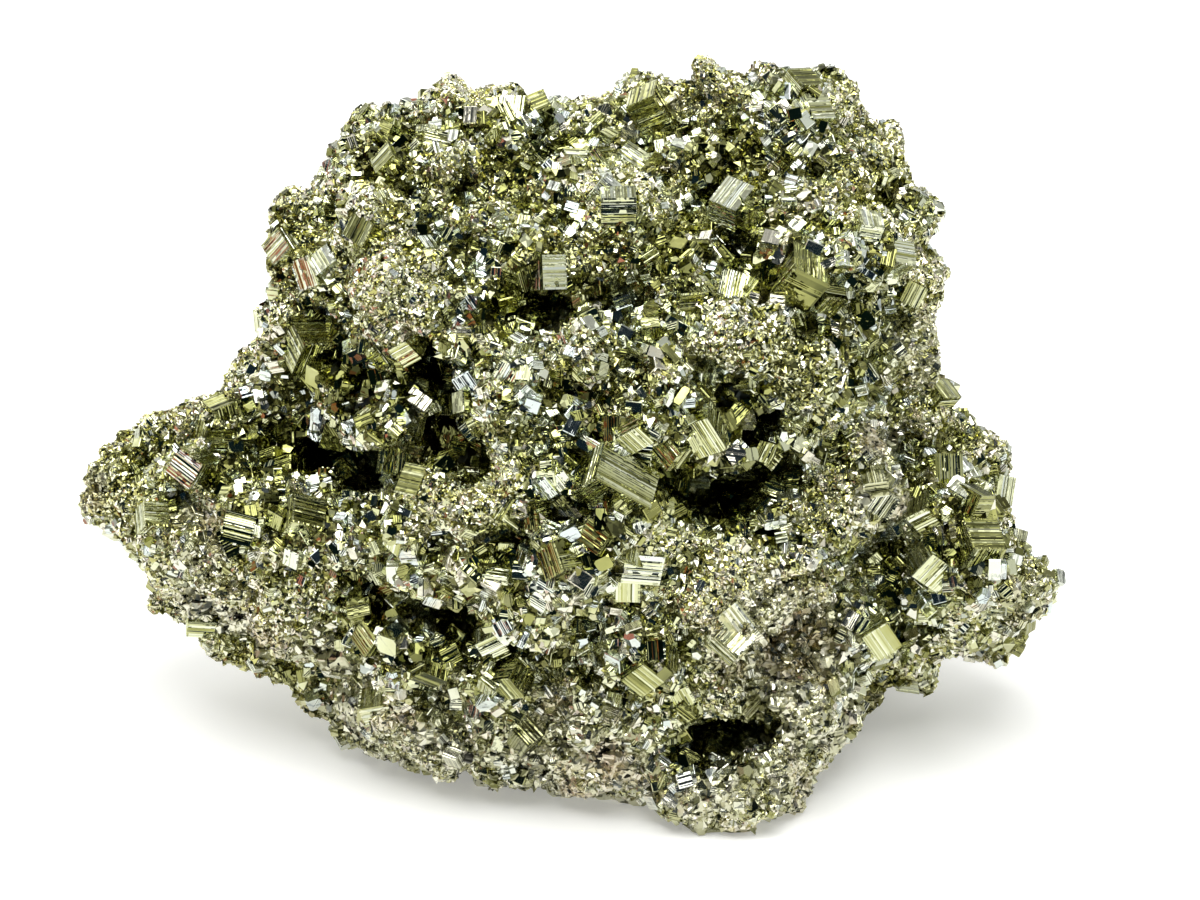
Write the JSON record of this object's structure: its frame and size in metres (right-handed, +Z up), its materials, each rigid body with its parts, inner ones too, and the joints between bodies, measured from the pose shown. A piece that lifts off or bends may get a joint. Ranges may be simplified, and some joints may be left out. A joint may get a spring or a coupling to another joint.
{
  "type": "pyrite specimen",
  "caption": "Knobbly mass of intergrown pyrite cubes and pyritohedra with deep hollows, a spur at each side and a flat broken base.",
  "frame": {"origin": "on the broken base, under the middle of the cluster's bounding box", "axes": "+Z up from the base, +X along the cluster's length from one spur to the other; the crystal face looks along -Y"},
  "size_m": [0.1588, 0.1004, 0.1127],
  "materials": {
    "pyrite": "gloss"
  },
  "bodies": {
    "root": {"pyrite_cluster": "pyrite"}
  },
  "joints": []
}
